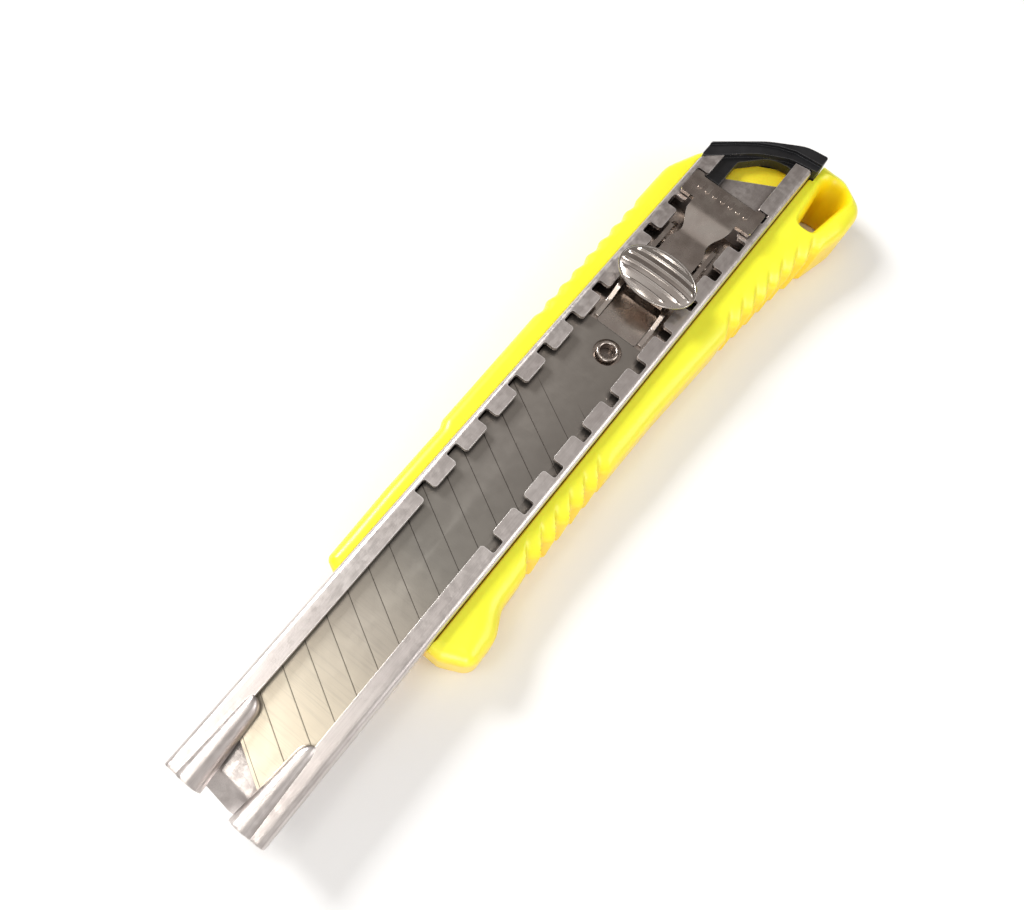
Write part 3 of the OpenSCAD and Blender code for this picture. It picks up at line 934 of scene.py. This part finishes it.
def dress(piece, finish):
    piece.data.materials.clear()
    piece.data.materials.append(FINISHES[finish])


def stand_for(piece, node, body, finish):
    """Shows a piece in place of a CAD node."""
    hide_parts(node)
    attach(piece, body)
    dress(piece, finish)


stand_for(make_handle(), "handle", "frame", "yellow_abs")
stand_for(make_rail(), "rail", "frame", "rail_steel")
stand_for(make_end_cap(), "end_cap", "cap", "black_plastic")
stand_for(make_carriage(), "carriage", "slider", "plated_steel")
stand_for(make_lock_plate(), "lock_plate", "lock", "plated_steel")
stand_for(make_button(), "thumb_button", "lock", "button_chrome")

# The leaf lies between the slider, which holds its foot, and the lock, which presses its tip; it is baked in
# place and attached to neither
leaf = make_return_spring()
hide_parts("return_spring")
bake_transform(leaf)
dress(leaf, "blade_steel")

for node, finish in (("blade", "blade_steel"), ("blade_stud", "plated_steel"), ("rocker_pin", "plated_steel"),
                     ("button_rivet", "plated_steel")):
    dress(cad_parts[node], finish)


# ---------------------------------------------------------------- floor, light and camera

def make_floor():
    """Sheet of paper just under the knife."""
    wide, sink, cuts = 3.0, 0.00002, 24
    mesh = bpy.data.meshes.new("floor")
    work = bmesh.new()
    bmesh.ops.create_grid(work, x_segments=cuts, y_segments=cuts, size=wide)
    work.to_mesh(mesh)
    work.free()
    floor = bpy.data.objects.new("floor", mesh)
    floor.location.z = -sink
    bpy.context.scene.collection.objects.link(floor)
    mesh.materials.append(floor_paper())


def area_light(name, location, target, size, energy, colour=(1, 1, 1)):
    light = bpy.data.lights.new(name, "AREA")
    light.size = size
    light.energy = energy
    light.color = colour
    lamp = bpy.data.objects.new(name, light)
    bpy.context.scene.collection.objects.link(lamp)
    lamp.location = location
    lamp.rotation_euler = (Vector(target) - Vector(location)).to_track_quat("-Z", "Y").to_euler()


def make_world():
    """Pale overhead and toward the nose and guard, dimmer and warmer behind the heel."""
    world = bpy.data.worlds.new("studio")
    bpy.context.scene.world = world
    world.use_nodes = True
    nodes, links = world.node_tree.nodes, world.node_tree.links
    place = nodes.new("ShaderNodeTexCoord")
    split = nodes.new("ShaderNodeSeparateXYZ")
    ramp = nodes.new("ShaderNodeValToRGB")
    leans = []
    for share in (-0.55, -0.4):
        lean = nodes.new("ShaderNodeMath")
        lean.operation = "MULTIPLY_ADD"
        lean.inputs[1].default_value = share
        leans.append(lean)
    stops = [(0.0, (0.42, 0.40, 0.38)), (0.33, (0.24, 0.21, 0.195)), (0.48, (0.4, 0.37, 0.35)),
             (0.62, (0.9, 0.86, 0.83)), (1.0, (0.86, 0.84, 0.82))]
    set_stops(ramp, stops)
    links.new(place.outputs["Generated"], split.inputs[0])
    links.new(split.outputs["X"], leans[0].inputs[0])
    links.new(split.outputs["Z"], leans[0].inputs[2])
    links.new(split.outputs["Y"], leans[1].inputs[0])
    links.new(leans[0].outputs[0], leans[1].inputs[2])
    links.new(leans[1].outputs[0], ramp.inputs["Fac"])
    links.new(ramp.outputs["Color"], nodes["Background"].inputs["Color"])
    nodes["Background"].inputs["Strength"].default_value = 0.68


def make_camera():
    azimuth, elevation, roll = math.radians(67.15), math.radians(69.58), math.radians(-16.02)
    target, distance = Vector((-0.01074, 0, 0.013)), 0.1663
    sensor, focal_share = 36, 900 / 1024
    forward = Vector((math.cos(elevation) * math.sin(azimuth), math.cos(elevation) * math.cos(azimuth),
                      -math.sin(elevation)))
    level = forward.cross(Vector((0, 0, 1))).normalized()
    up = math.cos(roll) * level.cross(forward) + math.sin(roll) * level
    right = forward.cross(up)
    data = bpy.data.cameras.new("camera")
    data.sensor_width = sensor
    data.lens = sensor * focal_share
    data.clip_start = 0.005
    camera = bpy.data.objects.new("camera", data)
    bpy.context.scene.collection.objects.link(camera)
    camera.matrix_world = Matrix.Translation(target - forward * distance) @ Matrix(
        (right, up, -forward)).transposed().to_4x4()
    bpy.context.scene.camera = camera


make_floor()
make_world()
area_light("key", (0.0, 0.42, 0.36), (-0.01, 0, 0), 0.18, 2.8)
area_light("nose_light", (-0.13, 0.05, 0.26), (-0.08, 0, 0.01), 0.07, 0.09, (1.0, 0.97, 0.92))
area_light("rim", (0.14, -0.38, 0.24), (0, 0, 0), 0.25, 0.7)
area_light("edge_light", (-0.34, -0.16, 0.12), (0, 0, 0.01), 0.16, 0.45)
make_camera()
bpy.context.scene.view_settings.view_transform = "Standard"
